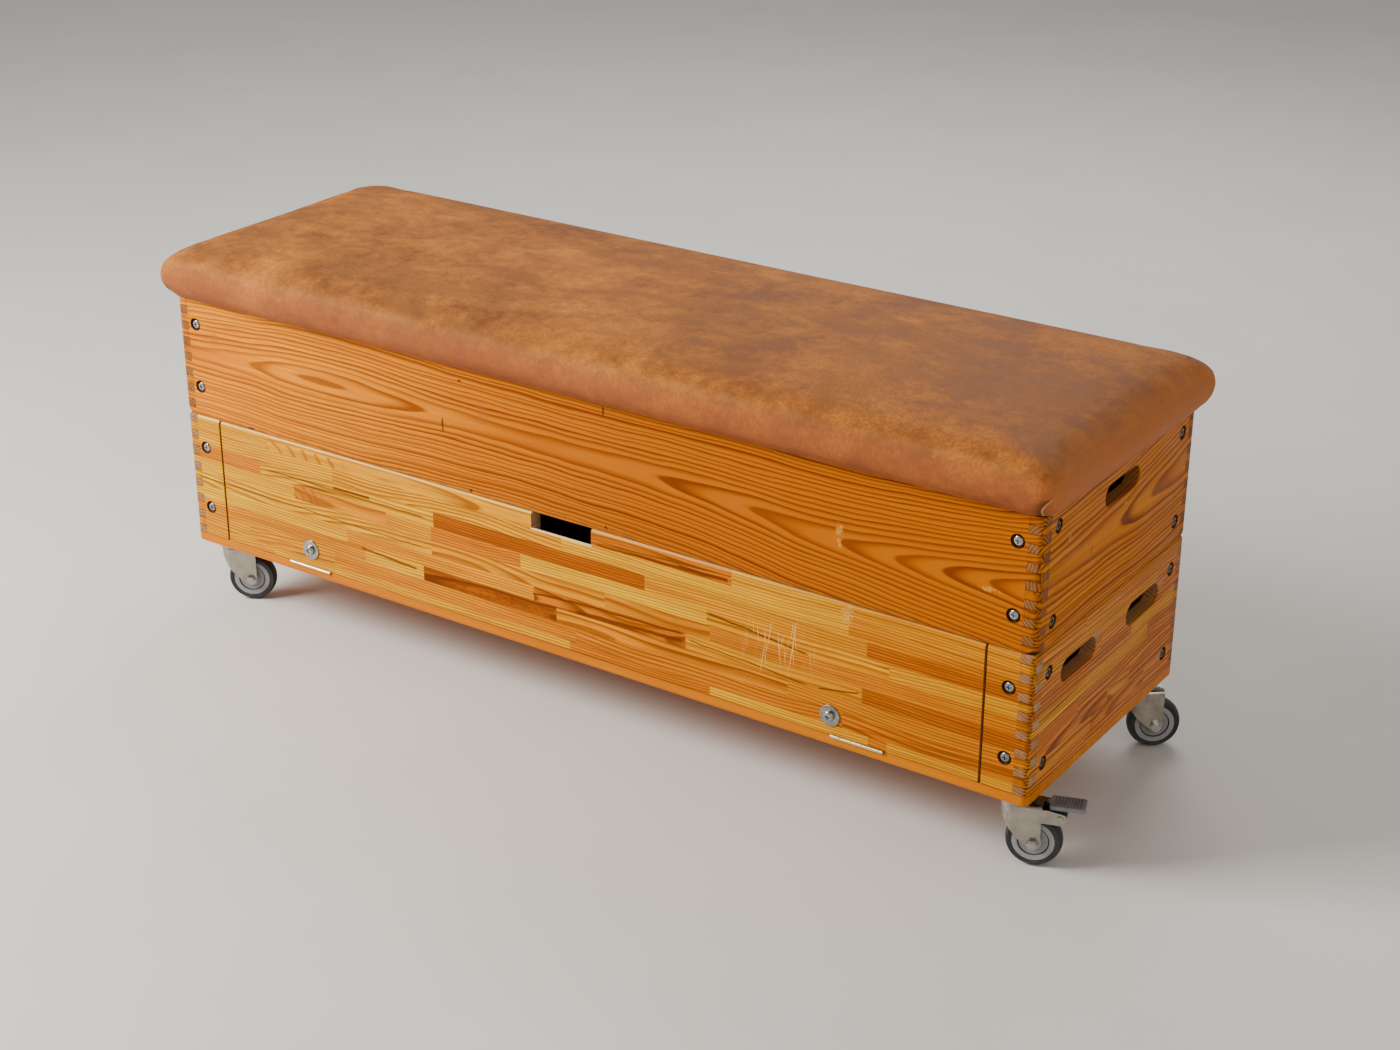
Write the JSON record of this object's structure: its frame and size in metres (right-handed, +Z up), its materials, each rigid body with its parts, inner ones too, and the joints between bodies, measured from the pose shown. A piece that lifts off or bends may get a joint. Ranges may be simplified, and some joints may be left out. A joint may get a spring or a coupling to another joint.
{
  "type": "vaulting box chest",
  "caption": "Low wooden vaulting box with a leather top, finger-jointed sections with hand holes, a drop-front flap and swivel castors.",
  "frame": {"origin": "on the floor below the middle of the whole object", "axes": "+X along the length, +Y from the flap to the back, +Z up"},
  "size_m": [1.5616, 0.496, 0.594],
  "materials": {
    "upper_pine": "varnished amber pine with strong growth rings",
    "lower_pine": "varnished pine",
    "flap_pine": "varnished glued-up pine staves",
    "base_panel": "orange varnished board",
    "inner_wood": "plain planed softwood",
    "plywood": "plain plywood",
    "leather": "cognac leather with cloudy mottling and a soft sheen",
    "foam": "open-cell foam",
    "screws": "zinc plated",
    "hinges": "yellow-tinged zinc plate",
    "catches": "dark",
    "castor_steel": "pressed steel, zinc plated",
    "wheel_core": "grey moulded",
    "tyre": "black solid rubber",
    "brake_cam": "black",
    "brake_pedal": "dark grey ribbed"
  },
  "bodies": {
    "chest": {"base_board": "base_panel", "base_screws": "screws", "lower_stile_left": "lower_pine", "lower_stile_right": "lower_pine", "lower_back_board": "lower_pine", "lower_end_left": "lower_pine", "lower_end_right": "lower_pine", "lower_corner_posts": "inner_wood", "lower_corner_screws": "screws", "flap_stop_left": "inner_wood", "flap_stop_right": "inner_wood", "catch_magnets": "catches", "hinge_base_leaves": "hinges", "hinge_base_screws": "hinges", "hinge_pins": "hinges", "castor_plates": "castor_steel", "castor_kingpins": "castor_steel", "castor_race_balls": "castor_steel", "castor_plate_screws": "screws"},
    "flap": {"flap_panel": "flap_pine", "hinge_flap_leaves": "hinges", "hinge_flap_screws": "hinges", "flap_bolts": "screws", "flap_washers": "screws", "flap_inner_washers": "screws", "flap_nuts": "screws", "catch_plates": "catches"},
    "top_section": {"upper_front_board": "upper_pine", "upper_back_board": "upper_pine", "upper_end_left": "upper_pine", "upper_end_right": "upper_pine", "upper_corner_posts": "inner_wood", "upper_corner_screws": "screws", "top_rails": "inner_wood", "top_board": "plywood", "top_board_screws": "screws", "foam_pad": "foam", "leather_cover": "leather"},
    "castor_front_left": {"castor_fork_front_left": "castor_steel", "castor_axle_front_left": "castor_steel"},
    "wheel_front_left": {"wheel_core_front_left": "wheel_core", "tyre_front_left": "tyre"},
    "castor_front_right": {"castor_fork_front_right": "castor_steel", "castor_axle_front_right": "castor_steel", "brake_pin_front_right": "castor_steel"},
    "wheel_front_right": {"wheel_core_front_right": "wheel_core", "tyre_front_right": "tyre"},
    "brake_front_right": {"brake_cam_front_right": "brake_cam", "brake_pedal_front_right": "brake_pedal"},
    "castor_rear_left": {"castor_fork_rear_left": "castor_steel", "castor_axle_rear_left": "castor_steel", "brake_pin_rear_left": "castor_steel"},
    "wheel_rear_left": {"wheel_core_rear_left": "wheel_core", "tyre_rear_left": "tyre"},
    "brake_rear_left": {"brake_cam_rear_left": "brake_cam", "brake_pedal_rear_left": "brake_pedal"},
    "castor_rear_right": {"castor_fork_rear_right": "castor_steel", "castor_axle_rear_right": "castor_steel"},
    "wheel_rear_right": {"wheel_core_rear_right": "wheel_core", "tyre_rear_right": "tyre"}
  },
  "joints": [
    {"name": "flap_hinge", "type": "hinge", "parent": "chest", "child": "flap", "pos_m": [0, -0.2246, 0.1213], "axis": [1, 0, 0], "range_deg": [0, 125]},
    {"name": "top_section_lift", "type": "slide", "parent": "chest", "child": "top_section", "axis": [0, 0, 1], "range_m": [0, 0.3]},
    {"name": "swivel_front_left", "type": "hinge", "parent": "chest", "child": "castor_front_left", "pos_m": [-0.69, -0.1836, 0.09], "axis": [0, 0, 1], "continuous": true},
    {"name": "wheel_front_left", "type": "hinge", "parent": "castor_front_left", "child": "wheel_front_left", "pos_m": [-0.666, -0.16918, 0.0375], "axis": [-0.515, 0.8572, 0], "continuous": true},
    {"name": "swivel_front_right", "type": "hinge", "parent": "chest", "child": "castor_front_right", "pos_m": [0.69, -0.1836, 0.09], "axis": [0, 0, 1], "continuous": true},
    {"name": "wheel_front_right", "type": "hinge", "parent": "castor_front_right", "child": "wheel_front_right", "pos_m": [0.71647, -0.17448, 0.0375], "axis": [-0.3256, 0.9455, 0], "continuous": true},
    {"name": "brake_front_right", "type": "hinge", "parent": "castor_front_right", "child": "brake_front_right", "pos_m": [0.74768, -0.16374, 0.078], "axis": [-0.3256, 0.9455, 0], "range_deg": [0, 20]},
    {"name": "swivel_rear_left", "type": "hinge", "parent": "chest", "child": "castor_rear_left", "pos_m": [-0.69, 0.1836, 0.09], "axis": [0, 0, 1], "continuous": true},
    {"name": "wheel_rear_left", "type": "hinge", "parent": "castor_rear_left", "child": "wheel_rear_left", "pos_m": [-0.71647, 0.17448, 0.0375], "axis": [0.3256, -0.9455, 0], "continuous": true},
    {"name": "brake_rear_left", "type": "hinge", "parent": "castor_rear_left", "child": "brake_rear_left", "pos_m": [-0.74768, 0.16374, 0.078], "axis": [0.3256, -0.9455, 0], "range_deg": [0, 20]},
    {"name": "swivel_rear_right", "type": "hinge", "parent": "chest", "child": "castor_rear_right", "pos_m": [0.69, 0.1836, 0.09], "axis": [0, 0, 1], "continuous": true},
    {"name": "wheel_rear_right", "type": "hinge", "parent": "castor_rear_right", "child": "wheel_rear_right", "pos_m": [0.71236, 0.20045, 0.0375], "axis": [-0.6018, 0.7986, 0], "continuous": true}
  ]
}
